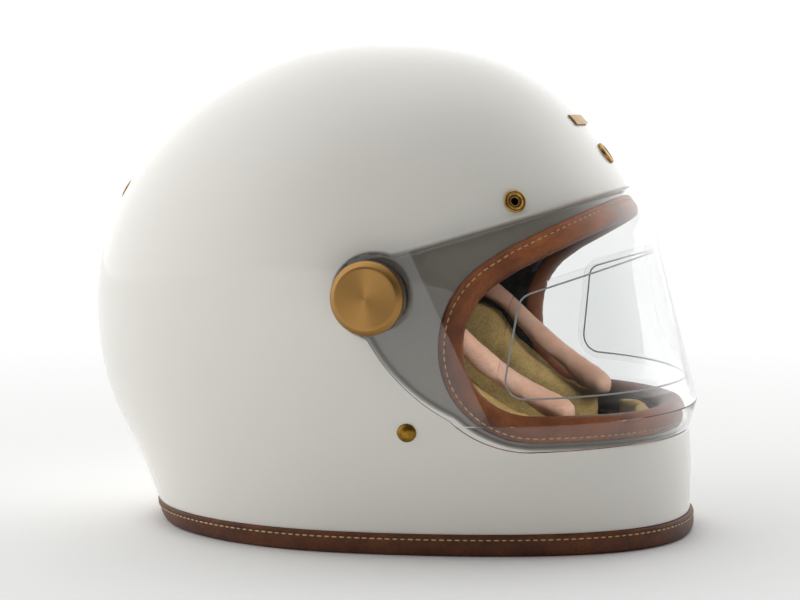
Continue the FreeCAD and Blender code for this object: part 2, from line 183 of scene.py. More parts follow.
def makeLacquer():
    # off-white clear-coated lacquer over laminate: deep gloss with a faint orange peel
    material, tree, shader, place = startMaterial("lacqueredLaminate", {
        "Roughness": 0.42, "IOR": 1.5, "Coat Weight": 1.0, "Coat Roughness": 0.03, "Coat IOR": 1.5})
    peel = {"size": 3.5, "depth": 0.012, "mottle": 60.0}   # mm
    cloud = noise(tree, place, peel["mottle"], 3.0)
    # painted shade: the pocket's floor under the visor is blended to grey, standing in for the shade of the
    # recess
    pocketShadeMask = addNode(tree, "ShaderNodeAttribute", {"attribute_name": "pocket"})
    skin = blendColours(tree, cloud, "#efece4", "#ece9e0")
    colour = blendColours(tree, pocketShadeMask.outputs["Fac"], skin, "#8a8378")
    tree.links.new(colour, shader.inputs["Base Color"])
    peelNoise = noise(tree, place, peel["size"], 1.0)
    bumpInto(tree, shader.inputs["Coat Normal"], peelNoise, 0.25, peel["depth"])
    return material


def makeLeather(name, dark, light, grain, depth, roughness, sheen):
    # full-grain leather: pebbled grain, darker in its creases and uneven in its dye
    material, tree, shader, place = startMaterial(name, {
        "Roughness": roughness, "IOR": 1.5, "Sheen Weight": sheen, "Sheen Roughness": 0.4,
        "Specular IOR Level": 0.35})
    dye = noise(tree, place, 22.0, 4.0, roughness=0.6)
    pebble = addNode(tree, "ShaderNodeTexVoronoi", {"feature": "SMOOTH_F1"},
                     {"Vector": place, "Scale": perMetre(grain), "Smoothness": 0.35})
    pores = noise(tree, place, grain * 0.4, 2.0)
    tone = addNode(tree, "ShaderNodeMapRange", None,
                   {"Value": dye, "From Min": 0.3, "From Max": 0.72})
    base = blendColours(tree, tone.outputs["Result"], dark, light)
    creased = addNode(tree, "ShaderNodeMapRange", None,
                      {"Value": pebble.outputs["Distance"], "From Min": 0.35, "From Max": 0.75,
                       "To Min": 0.0, "To Max": 0.35})
    colour = blendColours(tree, creased.outputs["Result"], base, dark)
    tree.links.new(colour, shader.inputs["Base Color"])
    height = addNode(tree, "ShaderNodeMath", {"operation": "MULTIPLY_ADD"},
                     {0: pebble.outputs["Distance"], 1: -1.0, 2: pores})
    bumpInto(tree, shader.inputs["Normal"], height.outputs[0], 0.6, depth)
    roughInto(tree, shader, dye, roughness - 0.1, roughness + 0.12)
    return material


def makeSuede(name, dark, light):
    # brushed split leather: matt, with a short nap that lies in light and dark patches
    material, tree, shader, place = startMaterial(name, {
        "Roughness": 0.95, "Sheen Weight": 0.45, "Sheen Roughness": 0.5, "Specular IOR Level": 0.2})
    shader.inputs["Sheen Tint"].default_value = linearColour(light)
    patches = noise(tree, place, 14.0, 3.0, distortion=0.6)
    nap = noise(tree, place, 1.1, 4.0, roughness=0.75)
    share = addNode(tree, "ShaderNodeMath", {"operation": "MULTIPLY_ADD"},
                    {0: patches, 1: 0.55, 2: nap})
    spread = addNode(tree, "ShaderNodeMapRange", None,
                     {"Value": share.outputs[0], "From Min": 0.5, "From Max": 1.05})
    colour = blendColours(tree, spread.outputs["Result"], dark, light)
    tree.links.new(colour, shader.inputs["Base Color"])
    bumpInto(tree, shader.inputs["Normal"], nap, 0.9, 0.35)
    return material


def makeThread():
    # waxed linen thread, pale straw with a twist
    material, tree, shader, place = startMaterial("waxedThread", {"Roughness": 0.6, "Sheen Weight": 0.2})
    ply = noise(tree, place, 0.6)
    colour = blendColours(tree, ply, "#b98f4e", "#ecd5a0")
    tree.links.new(colour, shader.inputs["Base Color"])
    bumpInto(tree, shader.inputs["Normal"], ply, 0.5, 0.1)
    return material


def makeClear(name, tint, roughness):
    # hard-coated polycarbonate: clear, with a faint haze in its roughness
    material, tree, shader, place = startMaterial(name, {
        "Base Color": linearColour(tint), "Transmission Weight": 1.0, "IOR": 1.45})
    haze = noise(tree, place, 30.0, 2.0)
    rough = addNode(tree, "ShaderNodeMapRange", None,
                    {"Value": haze, "From Min": 0.4, "From Max": 0.8,
                     "To Min": roughness, "To Max": roughness + 0.012})
    tree.links.new(rough.outputs["Result"], shader.inputs["Roughness"])
    return material


def makeTurnedBrass(name, centre, ringSize):
    # brass faced on a lathe: fine rings about its axis that fan the light out
    material, tree, shader, place = startMaterial(name, {
        "Metallic": 1.0, "Roughness": 0.3, "Anisotropic": 0.9})
    centred = addNode(tree, "ShaderNodeMapping", None,
                      {"Vector": place, "Location": [-v * mm for v in centre]})
    flat = addNode(tree, "ShaderNodeVectorMath", {"operation": "MULTIPLY"},
                   {0: centred.outputs["Vector"], 1: (1.0, 0.0, 1.0)})
    reach = addNode(tree, "ShaderNodeVectorMath", {"operation": "LENGTH"}, {0: flat.outputs["Vector"]})
    rings = addNode(tree, "ShaderNodeTexNoise", {"noise_dimensions": "1D"},
                    {"W": reach.outputs["Value"], "Scale": perMetre(ringSize), "Detail": 5.0,
                     "Roughness": 0.75})
    stain = noise(tree, place, 9.0, 4.0)
    base = blendColours(tree, rings.outputs["Fac"], "#8a6535", "#bd9158")
    colour = blendColours(tree, stain, base, "#a8804a")
    tree.links.new(colour, shader.inputs["Base Color"])
    roughInto(tree, shader, rings.outputs["Fac"], 0.2, 0.42)
    bumpInto(tree, shader.inputs["Normal"], rings.outputs["Fac"], 0.12, 0.03)
    tangent = addNode(tree, "ShaderNodeTangent", {"direction_type": "UV_MAP", "uv_map": "turned"})
    tree.links.new(tangent.outputs["Tangent"], shader.inputs["Tangent"])
    return material


def makeBrass(name, dark, light, roughness):
    # lacquered brass fitting, a little tarnished in its hollows
    material, tree, shader, place = startMaterial(name, {"Metallic": 1.0, "Roughness": roughness})
    stain = noise(tree, place, 3.5, 5.0, roughness=0.65)
    spread = addNode(tree, "ShaderNodeMapRange", None,
                     {"Value": stain, "From Min": 0.35, "From Max": 0.7})
    colour = blendColours(tree, spread.outputs["Result"], light, dark)
    tree.links.new(colour, shader.inputs["Base Color"])
    roughInto(tree, shader, stain, roughness - 0.08, roughness + 0.15)
    bumpInto(tree, shader.inputs["Normal"], stain, 0.1, 0.05)
    return material


def makeMoulded(name, colour, paler, grain, depth, roughness):
    # moulded polymer with the fine spark-eroded texture of its tool
    material, tree, shader, place = startMaterial(name, {"Roughness": roughness, "IOR": 1.5})
    texture = noise(tree, place, grain, 3.0)
    tone = blendColours(tree, texture, colour, paler)
    tree.links.new(tone, shader.inputs["Base Color"])
    bumpInto(tree, shader.inputs["Normal"], texture, 0.5, depth)
    return material


def makeBeadFoam():
    # expanded bead foam: round beads pressed together, matt, with dark joints
    material, tree, shader, place = startMaterial("beadFoam", {"Roughness": 0.85, "IOR": 1.4})
    beads = addNode(tree, "ShaderNodeTexVoronoi", {"feature": "F1"},
                    {"Vector": place, "Scale": perMetre(3.6)})
    rise = addNode(tree, "ShaderNodeMapRange", None,
                   {"Value": beads.outputs["Distance"], "From Min": 0.15, "From Max": 0.75,
                    "To Min": 1.0, "To Max": 0.0})
    colour = blendColours(tree, rise.outputs["Result"], "#0c0c0d", "#2b2b2d")
    tree.links.new(colour, shader.inputs["Base Color"])
    bumpInto(tree, shader.inputs["Normal"], rise.outputs["Result"], 0.8, 0.5)
    return material


def makeSteel():
    # bright rolled steel with light handling marks
    material, tree, shader, place = startMaterial("brightSteel", {"Metallic": 1.0, "Roughness": 0.25})
    marks = noise(tree, place, 2.2, 4.0, distortion=1.0)
    colour = blendColours(tree, marks, "#9b9c9e", "#c9cacc")
    tree.links.new(colour, shader.inputs["Base Color"])
    roughInto(tree, shader, marks, 0.16, 0.36)
    return material


def makeWebbing():
    # woven nylon webbing: ribs across it and a herringbone of yarns along it
    material, tree, shader, place = startMaterial("wovenWebbing", {
        "Roughness": 0.7, "Sheen Weight": 0.3, "Sheen Roughness": 0.4})
    weave = {"yarn": 1.3, "relief": 0.25}    # mm; the yarn is drawn coarser than real so that it shows
    along = addNode(tree, "ShaderNodeUVMap", {"uv_map": "weave"}).outputs["UV"]
    waves = []
    for turn in (45.0, -45.0):
        laid = addNode(tree, "ShaderNodeMapping", None,
                       {"Vector": along, "Rotation": (0.0, 0.0, math.radians(turn))})
        wave = addNode(tree, "ShaderNodeTexWave", {"bands_direction": "X"},
                       {"Vector": laid.outputs["Vector"], "Scale": perMetre(weave["yarn"]) / 20 * math.pi})
        waves.append(wave.outputs["Fac"])
    height = addNode(tree, "ShaderNodeMath", {"operation": "MULTIPLY"}, {0: waves[0], 1: waves[1]})
    colour = blendColours(tree, height.outputs[0], "#0b0b0c", "#2e2b28")
    tree.links.new(colour, shader.inputs["Base Color"])
    bumpInto(tree, shader.inputs["Normal"], height.outputs[0], 0.7, weave["relief"])
    return material


lacquer = makeLacquer()
trimLeather = makeLeather("cognacLeather", "#47230f", "#7d4726", 1.5, 0.22, 0.46, 0.0)
liningLeather = makeLeather("naturalLining", "#b98b73", "#dbb49e", 1.0, 0.08, 0.5, 0.15)
suede = makeSuede("tanSuede", "#80683e", "#c9ac72")
rollSuede = makeSuede("rollSuede", "#5f4a2b", "#9c8150")
thread = makeThread()
clearVisor = makeClear("clearPolycarbonate", "#fdfefe", 0.0)
clearInsert = makeClear("clearInsert", "#fbfcfc", 0.004)
sealGel = makeMoulded("siliconeSeal", "#d9d6d0", "#e6e3de", 1.0, 0.02, 0.35)
beadFoam = makeBeadFoam()
blackNylon = makeMoulded("mouldedNylon", "#0a0a0b", "#161617", 0.5, 0.05, 0.42)
tubeRubber = makeMoulded("ventTube", "#060606", "#0d0d0d", 0.8, 0.05, 0.6)
eyeletBrass = makeBrass("lacqueredBrass", "#7d5a2c", "#c69b55", 0.25)
rivetBrass = makeBrass("agedBrass", "#5c4119", "#a8802f", 0.34)
machinedBrass = makeBrass("plainTurnedBrass", "#8d6a35", "#c39a57", 0.3)
steel = makeSteel()
webbing = makeWebbing()
print("materials made")


# the shell's form, with its sizes taken from the outer shell's box
shellLow, shellHigh = nodeBox("outer_shell")
form = {
    "halfLength": -shellLow[0], "halfWidth": shellHigh[1], "height": shellHigh[2],
    "middle": -0.045, "waist": 0.46, "apexX": -0.7, "fullness": 0.0555,
    "pocketDepth": 5.0, "pocketHalf": 114.5, "wall": 4.0,
}
# level sections from the bottom up: height, reach to the back and front, half width, as shares
sections = [
    (0.000, 0.763, 0.981, 0.830), (0.140, 0.856, 0.984, 0.893), (0.247, 0.942, 0.971, 0.943),
    (0.354, 0.990, 0.949, 0.978), (0.461, 1.000, 0.917, 0.997), (0.568, 0.976, 0.865, 1.000),
    (0.687, 0.898, 0.788, 0.968), (0.797, 0.768, 0.673, 0.868), (0.889, 0.600, 0.542, 0.703),
    (0.956, 0.402, 0.377, 0.478), (0.990, 0.216, 0.185, 0.241),
]
topRow = len(sections)


def splineSolver():
    # slopes of a clamped cubic through evenly spaced stations, from their differences
    count = topRow + 1
    matrix = np.eye(count)
    for k in range(1, count - 1):
        matrix[k, k - 1:k + 2] = (1.0, 4.0, 1.0)
    return np.linalg.inv(matrix)


slopeSolver = splineSolver()


def stationPoints(turn, inset):
    waist = form["waist"] * form["height"]
    middle = form["middle"] * form["halfLength"]
    side, ahead = np.sin(turn), np.cos(turn)
    squarer = 1 + form["fullness"] * np.sin(2 * turn) ** 2 * np.maximum(ahead, 0.0)
    stations = []
    for share, back, front, half in sections:
        z = share * form["height"]
        if z > waist:
            z = waist + (z - waist) * (1 - inset / (form["height"] - waist))
        reach = np.where(ahead > 0, front * form["halfLength"] - middle, back * form["halfLength"] + middle)
        along = reach * (1 - inset / form["halfLength"])
        across = half * (form["halfWidth"] - inset)
        stations.append(np.stack([middle + along * ahead * squarer, across * side * squarer,
                                  np.full_like(turn, z)], axis=1))
    stations.append(np.tile([form["apexX"], 0.0, form["height"] - inset], (len(turn), 1)))
    return np.array(stations)


def domePoint(params, inset=0.0):
    # points of the shell's outer form: turn goes round it, row climbs it
    turn, row = params[:, 0], np.clip(params[:, 1], 0, topRow)
    stations = stationPoints(turn, inset)
    start = stations[1] - stations[0]
    slant = (-11 * stations[0] + 18 * stations[1] - 9 * stations[2] + 2 * stations[3]) / 6
    start *= (np.abs(slant).sum(1) / np.abs(start).sum(1))[:, None]
    end = stations[-1] - stations[-2]
    end[:, 2] = 0.0
    slant = (11 * stations[-1] - 18 * stations[-2] + 9 * stations[-3] - 2 * stations[-4]) / 6
    end *= (np.abs(slant).sum(1) / np.maximum(np.abs(end).sum(1), 1e-9))[:, None]
    rates = np.concatenate([start[None], 3 * (stations[2:] - stations[:-2]), end[None]])
    slopes = np.tensordot(slopeSolver, rates, axes=1)
    span = np.minimum(row.astype(int), topRow - 1)
    t = (row - span)[:, None]
    pick = np.arange(len(turn))
    p0, p1 = stations[span, pick], stations[span + 1, pick]
    m0, m1 = slopes[span, pick], slopes[span + 1, pick]
    return ((2 * t**3 - 3 * t**2 + 1) * p0 + (t**3 - 2 * t**2 + t) * m0
            + (3 * t**2 - 2 * t**3) * p1 + (t**3 - t**2) * m1)


def floorPoint(params):
    # the pocket's floor under the visor: the dome sunk in, with flat sides
    sunk = domePoint(params, form["pocketDepth"])
    limit, soft = form["pocketHalf"], 1.5
    over = np.abs(sunk[:, 1]) - limit
    eased = limit + np.where(over < -soft, over, np.where(over > soft, 0.0, -(over - soft) ** 2 / (4 * soft)))
    sunk[:, 1] = np.sign(sunk[:, 1]) * np.minimum(np.abs(sunk[:, 1]), eased)
    return sunk


rowTable = np.linspace(0, topRow, 2001)
heightTable = domePoint(np.stack([np.zeros_like(rowTable), rowTable], axis=1))[:, 2]


def rowAt(z):
    return np.interp(z, heightTable, rowTable)


def roundedOutline(corners, radii, pieces=14):
    # a closed outline in the side view with rounded corners
    made = []
    for k, corner in enumerate(corners):
        here = np.array(corner, float)
        if radii[k] <= 0:
            made.append(here)
            continue
        back = np.array(corners[k - 1], float) - here
        ahead = np.array(corners[(k + 1) % len(corners)], float) - here
        back /= np.linalg.norm(back)
        ahead /= np.linalg.norm(ahead)
        half = math.acos(float(back @ ahead)) / 2
        run = radii[k] / math.tan(half)
        centre = here + (back + ahead) / np.linalg.norm(back + ahead) * radii[k] / math.sin(half)
        first = here + back * run - centre
        last = here + ahead * run - centre
        sweep = math.pi - 2 * half
        for share in np.linspace(0, 1, pieces):
            mixed = first * math.sin((1 - share) * sweep) + last * math.sin(share * sweep)
            made.append(centre + mixed / math.sin(sweep))
    return np.array(made)


def arcThrough(first, middle, last, pieces=24):
    (ax, az), (bx, bz), (cx, cz) = first, middle, last
    d = 2 * (ax * (bz - cz) + bx * (cz - az) + cx * (az - bz))
    ux = ((ax**2 + az**2) * (bz - cz) + (bx**2 + bz**2) * (cz - az) + (cx**2 + cz**2) * (az - bz)) / d
    uz = ((ax**2 + az**2) * (cx - bx) + (bx**2 + bz**2) * (ax - cx) + (cx**2 + cz**2) * (bx - ax)) / d
    radius = math.hypot(ax - ux, az - uz)
    start = math.atan2(az - uz, ax - ux)
    end = math.atan2(cz - uz, cx - ux)
    end = start + (end - start + math.pi) % (2 * math.pi) - math.pi
    return [(ux + radius * math.cos(a), uz + radius * math.sin(a)) for a in np.linspace(start, end, pieces)]


def outlineDistance(x, z, outline):
    # distance to a closed outline, negative inside it
    least = np.full(len(x), 1e9)
    inside = np.zeros(len(x), bool)
    for (ax, az), (bx, bz) in zip(outline, np.roll(outline, -1, axis=0)):
        dx, dz = bx - ax, bz - az
        share = np.clip(((x - ax) * dx + (z - az) * dz) / max(dx * dx + dz * dz, 1e-12), 0, 1)
        least = np.minimum(least, (x - ax - share * dx) ** 2 + (z - az - share * dz) ** 2)
        if dz != 0:
            crosses = ((az > z) != (bz > z)) & (x < (z - az) * dx / dz + ax)
            inside ^= crosses
    return np.where(inside, -1, 1) * np.sqrt(least)


knobLow, knobHigh = nodeBox("knob_right")
pivotX, pivotZ = (knobLow[0] + knobHigh[0]) / 2, (knobLow[2] + knobHigh[2]) / 2
beyond = form["halfLength"] + 60

visorShape = {
    "lug": 21.5, "lineHeight": 17.6, "rise": math.tan(math.radians(17.0)), "low": 58.5,
    "half": 122.6, "wall": 2.0, "bow": 112.0, "lean": math.tan(math.radians(15.0)),
    "crease": 72.5, "lipLean": 4.0 / 14.0, "quarter": 184.0,   # about a quarter of the bow, along it
}


def visorWedge(grow):
    # the visor's side outline without its round lugs
    shape = visorShape
    top = pivotZ + shape["lineHeight"] + grow
    low = shape["low"] - grow
    knee = (63.2 - 0.6 * grow, 75.5 - 0.8 * grow)
    heel = (pivotX - 3.9, pivotZ - shape["lug"] - grow + 0.4)
    points = [(pivotX, pivotZ), (pivotX, top), (beyond, top + (beyond - pivotX) * shape["rise"]),
              (beyond, low)]
    points += arcThrough((101.2, low), (79.2 - 0.5 * grow, 64.3 - 0.85 * grow), knee)
    points += arcThrough(knee, (39.9 - 0.7 * grow, 91.2 - 0.7 * grow), heel)[1:]
    return np.array(points)


def visorDistance(x, z, grow, scallop=0.0):
    lug = np.hypot(x - pivotX, z - pivotZ) - visorShape["lug"] - grow
    if scallop:
        lug += scallop * np.cos(16 * np.arctan2(z - pivotZ, x - pivotX))
    return np.minimum(lug, outlineDistance(x, z, visorWedge(grow)))


eyeportShape = {"back": 53.2, "low": 60.3, "backTop": 144.4, "rise": math.radians(28.0),
                "topRadius": 55.0, "lowRadius": 48.0}


def eyeportOutline(offset, pieces=30):
    shape = eyeportShape
    back, low = shape["back"] + offset, shape["low"] + offset
    corner = shape["backTop"] + offset * math.tan(shape["rise"]) - offset / math.cos(shape["rise"])
    top = corner + (beyond - back) * math.tan(shape["rise"])
    return roundedOutline([(back, low), (beyond, low), (beyond, top), (back, corner)],
                          [shape["lowRadius"] - offset, 0, 0, shape["topRadius"] - offset], pieces)


# a sheet is a grid over a form that is cut cleanly along contours
def makeSheet(place, turns, rows, fields):
    params = np.array([(t, r) for r in rows for t in turns])
    wide = len(turns)
    faces = []
    for r in range(len(rows) - 1):
        for c in range(wide - 1):
            a = r * wide + c
            faces.append((a, a + 1, a + wide + 1, a + wide))
    values = {name: field(params) for name, field in fields.items()}
    return {"place": place, "params": params, "faces": faces, "fields": fields, "values": values}


snapReach = 0.04     # mm; grid points this near a contour count as on it


def splitSheet(sheet, name, level):
    # every face that the contour crosses becomes two, and the crossings lie on the contour
    params, values = sheet["params"], sheet["values"][name]
    values[np.abs(values - level) < snapReach] = level
    signs = np.sign(values - level).astype(int).tolist()
    cuts = {}
    for face in sheet["faces"]:
        if {signs[v] for v in face} >= {-1, 1}:
            for a, b in zip(face, face[1:] + face[:1]):
                if signs[a] * signs[b] < 0:
                    cuts.setdefault((min(a, b), max(a, b)), len(params) + len(cuts))
    if not cuts:
        return
    ends = np.array(list(cuts))
    low, high = params[ends[:, 0]], params[ends[:, 1]]
    lowValue, highValue = values[ends[:, 0]] - level, values[ends[:, 1]] - level
    for step in range(5):
        share = (lowValue / (lowValue - highValue))[:, None]
        middle = low + (high - low) * share
        found = sheet["fields"][name](middle) - level
        isLow = np.sign(found) == np.sign(lowValue)
        low, high = np.where(isLow[:, None], middle, low), np.where(isLow[:, None], high, middle)
        lowValue, highValue = np.where(isLow, found, lowValue), np.where(isLow, highValue, found)
        lowValue = np.where(lowValue == highValue, lowValue + 1e-9, lowValue)
    sheet["params"] = np.vstack([params, middle])
    for field, kept in sheet["values"].items():
        added = np.full(len(cuts), float(level)) if field == name else sheet["fields"][field](middle)
        sheet["values"][field] = np.concatenate([kept, added])
    split = []
    for face in sheet["faces"]:
        if not {signs[v] for v in face} >= {-1, 1}:
            split.append(face)
            continue
        above, below = [], []
        for a, b in zip(face, face[1:] + face[:1]):
            if signs[a] >= 0:
                above.append(a)
            if signs[a] <= 0:
                below.append(a)
            if signs[a] * signs[b] < 0:
                cut = cuts[(min(a, b), max(a, b))]
                above.append(cut)
                below.append(cut)
        split += [tuple(part) for part in (above, below) if len(part) > 2]
    sheet["faces"] = split


def keepSide(sheet, name, level, side):
    # drops the faces on the other side of a contour that has been split along
    offset = (sheet["values"][name] - level) * side
    sheet["faces"] = [f for f in sheet["faces"] if sum(offset[v] for v in f) > 0]


def tidySheet(sheet, positions):
    used = sorted({v for f in sheet["faces"] for v in f})
    order = {v: k for k, v in enumerate(used)}
    return positions[used], [tuple(order[v] for v in f) for f in sheet["faces"]], used


# wall of the pocket: how far in from its edge, and how deep there, as a share
wallSteps = [-0.7, -0.25, 0.15, 1.2, 1.7, 2.6]
wallShares = [0.0, 0.03, 0.14, 0.82, 0.96, 1.0]


def pocketField(params):
    skin = domePoint(params)
    return visorDistance(skin[:, 0], skin[:, 2], 1.0)


def sunkPoint(params):
    skin = domePoint(params)
    gap = visorDistance(skin[:, 0], skin[:, 2], 1.0)
    share = np.interp(-gap, wallSteps, wallShares)[:, None]
    return skin + share * (floorPoint(params) - skin)


def eyeportField(params):
    skin = sunkPoint(params)
    return outlineDistance(skin[:, 0], skin[:, 2], eyeportOutline(0.0))


# a plain grid over the whole form, to seat the fittings on
skinWide, skinTall = 181, 90
skinParams = np.array([(t, r) for r in np.linspace(0, topRow, skinTall)
                       for t in np.linspace(-math.pi, math.pi, skinWide)])
skinFaces = [(r * skinWide + c, r * skinWide + c + 1, (r + 1) * skinWide + c + 1, (r + 1) * skinWide + c)
             for r in range(skinTall - 1) for c in range(skinWide - 1)]
skinTree = BVHTree.FromPolygons([tuple(p) for p in domePoint(skinParams)], skinFaces)


def seatOf(node):
    # where a turned fitting sits on the shell, and the way out there
    low, high = nodeBox(node)
    place, way, index, gap = skinTree.find_nearest(Vector((low + high) / 2))
    return np.array(place), np.array(way.normalized())


def makeShell():
    settings = {"fine": 2.0, "coarse": 4.2, "low": 12.3, "fineLow": 50.0, "fineHigh": 197.0,
                "trimLap": 5.0, "ventBore": 4.1}
    side = np.arange(0, 118, 1.28)           # degrees from the front
    rear = np.linspace(118, 180, 22)
    half = np.radians(np.concatenate([side, rear]))
    turns = np.concatenate([-half[:0:-1], half])
    lows = np.arange(settings["low"], settings["fineLow"], settings["coarse"])
    fines = np.arange(settings["fineLow"], settings["fineHigh"], settings["fine"])
    rows = np.concatenate([rowAt(lows), rowAt(fines)])
    rows = np.concatenate([rows, np.linspace(rows[-1], topRow, 40)[1:]])
    vents = [seatOf(f"{end}_vent_{hand}") for end in ("front", "rear") for hand in ("left", "right")]

    def ventField(params):
        skin = domePoint(params)
        least = np.full(len(params), 1e9)
        for seat, way in vents:
            apart = skin - seat
            along = apart @ way
            least = np.minimum(least, np.sqrt(np.maximum((apart**2).sum(1) - along**2, 0))
                               + np.where(np.abs(along) > 20, 1e3, 0))
        return least

    sheet = makeSheet(sunkPoint, turns, rows, {"pocket": pocketField, "eyeport": eyeportField,
                                               "vent": ventField})
    splitSheet(sheet, "eyeport", -settings["trimLap"])
    keepSide(sheet, "eyeport", -settings["trimLap"], 1)
    splitSheet(sheet, "vent", settings["ventBore"])
    keepSide(sheet, "vent", settings["ventBore"], 1)
    for level in [1.3] + [-step for step in wallSteps] + [-3.6]:
        splitSheet(sheet, "pocket", level)
    points, faces, used = tidySheet(sheet, sunkPoint(sheet["params"]))
    gaps = sheet["values"]["pocket"][used]
    made = makeObject("shellLacquered", points, faces)
    # the pocket's floor carries a mask for painted shade: its recess under the visor is painted greyer than
    # the shell
    pocketShadeMask = made.data.attributes.new("pocket", "FLOAT", "POINT")
    tree = {}
    for point, gap in zip(points, gaps):
        tree[tuple(np.round(point, 2))] = gap
    for vertex in made.data.vertices:
        gap = tree.get(tuple(np.round(np.array(vertex.co) / mm, 2)), 9.0)
        pocketShadeMask.data[vertex.index].value = float(np.interp(-gap, [0.15, 1.2], [0.0, 1.0]))
    return thicken(made, form["wall"], 55)


shell = makeShell()
finishPiece(shell, lacquer, "helmet", ["outer_shell"])
print("shell made", len(shell.data.polygons), "faces")


def sweepLoop(name, centres, across, up, profile, adjust=None):
    # profile is a closed list of (across, up) in millimetres, the loop closes on itself
    points, faces = [], []
    count, size = len(centres), len(profile)
    shape = np.array(profile, float)
    for k in range(count):
        ring = shape if adjust is None else adjust(k, shape.copy())
        points.append(centres[k] + ring[:, :1] * across[k] + ring[:, 1:] * up[k])
        for j in range(size):
            a, b = k * size + j, k * size + (j + 1) % size
            after = (k + 1) % count * size
            faces.append((a, b, after + (j + 1) % size, after + j))
    return makeObject(name, np.vstack(points), faces)


def smoothLoop(rows, times):
    for step in range(times):
        rows = 0.5 * rows + 0.25 * (np.roll(rows, 1, axis=0) + np.roll(rows, -1, axis=0))
    return rows


def eyeportLoop(offset, spacing):
    # the eyeport's edge on the pocket's floor, as (turn, row): the right half, then the left
    outline = eyeportOutline(offset, 40)
    low = outline[:40]                       # round the low back corner, from the low line upwards
    high = outline[-40:]                     # round the top back corner
    turnTable = np.linspace(0, math.pi, 721)

    def turnAt(x, z):
        at = floorPoint(np.stack([turnTable, np.full(721, rowAt(z))], axis=1))[:, 0]
        return float(np.interp(-x, -at, turnTable))

    lowZ = min(low[0][1], low[-1][1])
    if low[0][0] < low[-1][0]:
        low = low[::-1]
    if high[0][0] > high[-1][0]:
        high = high[::-1]
    corner = [(turnAt(x, z), float(rowAt(z))) for x, z in low]
    upper = [(turnAt(x, z), float(rowAt(z))) for x, z in high]
    path = [(t, float(rowAt(lowZ))) for t in np.linspace(0, corner[0][0], 60)[:-1]]
    path += corner
    path += list(zip(np.linspace(corner[-1][0], upper[0][0], 12)[1:-1],
                     np.linspace(corner[-1][1], upper[0][1], 12)[1:-1]))
    path += upper
    lean = math.tan(eyeportShape["rise"])
    x0, z0 = high[-1]
    for t in np.linspace(upper[-1][0], 0, 60)[1:]:
        rows = np.linspace(upper[-1][1], topRow * 0.9, 400)
        at = floorPoint(np.stack([np.full(400, t), rows], axis=1))
        past = at[:, 2] - z0 - (at[:, 0] - x0) * lean
        path.append((t, float(np.interp(0, past, rows))))
    right = np.array([(-t, r) for t, r in path])
    left = np.array([(t, r) for t, r in path[::-1]])[1:-1]
    loop = np.vstack([right, left])
    return evenBySpace(loop, spacing)


def evenBySpace(loop, spacing):
    points = floorPoint(loop)
    gaps = np.linalg.norm(np.roll(points, -1, axis=0) - points, axis=1)
    along = np.concatenate([[0], np.cumsum(gaps)])
    closed = np.vstack([loop, loop[:1]])
    marks = np.linspace(0, along[-1], int(along[-1] / spacing) + 1)[:-1]
    return np.stack([np.interp(marks, along, closed[:, k]) for k in (0, 1)], axis=1)


def loopFrames(loop, place):
    # at each point of a loop: the point, the way into the opening, and the way out of the surface
    step = 1e-3
    centres = place(loop)
    sideways = place(loop + [step, 0.0]) - place(loop - [step, 0.0])
    upwards = place(loop + [0.0, step]) - place(loop - [0.0, step])
    out = unitRows(np.cross(sideways, upwards))
    out = unitRows(smoothLoop(out, 6))
    centres = smoothLoop(centres, 2)
    tangent = unitRows(np.roll(centres, -1, axis=0) - np.roll(centres, 1, axis=0))
    inward = unitRows(np.cross(tangent, out))
    return centres, inward, out


trimShape = {
    "middle": 6.5, "spacing": 3.0, "stitchOffset": 3.2, "stitchHeight": 2.25,
    # offset in from the trim's outer edge, height over the pocket's floor
    "profile": [(-0.1, -0.3), (0.0, 0.7), (0.5, 1.5), (1.3, 2.0), (2.3, 2.3), (2.9, 2.15), (3.2, 2.0),
                (3.5, 2.15), (4.3, 2.5), (5.6, 3.0), (7.2, 3.3), (9.0, 3.2), (10.8, 2.6), (12.2, 1.4),
                (13.0, -0.4), (13.3, -3.0), (13.0, -6.0), (12.0, -8.8), (10.2, -10.8), (8.0, -11.6),
                (6.4, -11.2), (5.6, -9.5), (5.4, -5.0), (5.2, -0.6)],
    "wrinkle": 0.55, "wrinklePitch": 7.0,
}


def makeEyeportTrim():
    loop = eyeportLoop(trimShape["middle"], trimShape["spacing"])
    centres, inward, out = loopFrames(loop, floorPoint)
    count = len(loop)
    rng = np.random.default_rng(7)
    phase = rng.uniform(-0.6, 0.6, count)
    run = np.arange(count) * trimShape["spacing"]
    # the leather gathers where the opening's back corners are tight
    tight = np.linalg.norm(np.roll(inward, -4, axis=0) - np.roll(inward, 4, axis=0), axis=1)
    tight = np.clip(tight / 0.5, 0, 1) ** 1.5
    pleat = np.sin(2 * math.pi * run / trimShape["wrinklePitch"] + phase)

    def gather(k, ring):
        inner = np.clip((ring[:, 0] - 4.0) / 5.0, 0, 1) * (ring[:, 1] > -8)
        ring[:, 1] += trimShape["wrinkle"] * tight[k] * pleat[k] * inner
        ring[:, 0] += 0.4 * trimShape["wrinkle"] * tight[k] * pleat[k] * inner
        ring[:, 0] -= trimShape["middle"]
        return ring

    made = sweepLoop("eyeportPiping", centres, inward, out, trimShape["profile"], gather)
    smooth = made.modifiers.new("Smooth", "SUBSURF")
    smooth.levels = smooth.render_levels = 1
    seam = trimShape["stitchOffset"] - trimShape["middle"]
    line = centres + inward * seam + out * trimShape["stitchHeight"]
    return made, line


